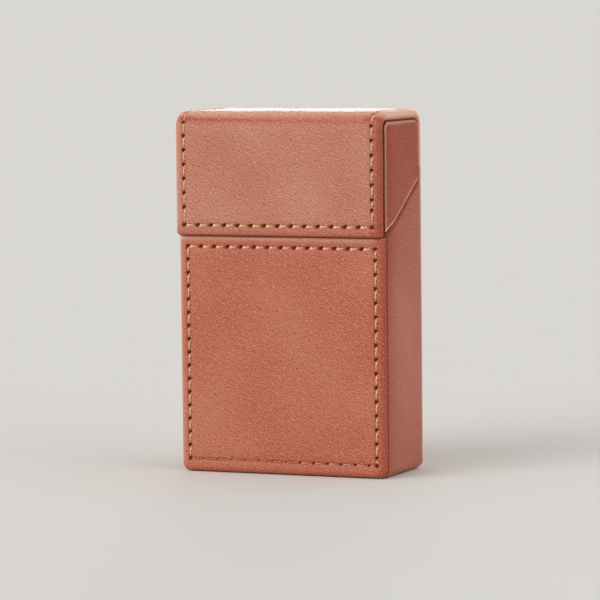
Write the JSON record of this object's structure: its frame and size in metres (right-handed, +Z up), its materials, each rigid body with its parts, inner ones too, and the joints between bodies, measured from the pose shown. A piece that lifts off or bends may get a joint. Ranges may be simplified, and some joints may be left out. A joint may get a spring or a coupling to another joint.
{
  "type": "cigarette case",
  "caption": "Leather-covered upright case with a flip-top lid on a leather hinge, stitched front and lid, and an inner collar with a magnetic closure.",
  "frame": {"origin": "on the ground under the middle of the case", "axes": "+X to the right seen from the front, the front faces -Y, +Z up"},
  "size_m": [0.06, 0.03, 0.098],
  "materials": {
    "leather_tan": "satin",
    "leather_side": "satin",
    "thread_peach": "matte",
    "greyboard": "matte",
    "lining_dark": "matte",
    "collar_card": "satin",
    "steel": "polished"
  },
  "bodies": {
    "case": {"front_cover": "leather_tan", "back_cover": "leather_tan", "hinge_leather": "leather_tan", "base_cover": "leather_side", "left_cover": "leather_side", "right_cover": "leather_side", "front_thread": "thread_peach", "back_thread": "thread_peach", "front_board": "greyboard", "left_board": "greyboard", "right_board": "greyboard", "back_board": "greyboard", "base_board": "greyboard", "back_lining": "lining_dark", "floor_pad": "lining_dark", "collar": "collar_card", "strike_plate_left": "steel", "strike_plate_right": "steel"},
    "lid": {"lid_cover": "leather_tan", "lid_board": "greyboard", "lid_lining": "lining_dark", "lid_thread": "thread_peach", "lid_inner_front": "lining_dark", "lid_magnet_left": "steel", "lid_magnet_right": "steel", "ear_cover_left": "leather_side", "ear_cover_right": "leather_side", "ear_board_left": "greyboard", "ear_board_right": "greyboard"}
  },
  "joints": [
    {"name": "lid_hinge", "type": "hinge", "parent": "case", "child": "lid", "pos_m": [0, 0.015, 0.0805], "axis": [-1, 0, 0], "range_deg": [0, 150], "deforming": ["hinge_leather"]}
  ]
}
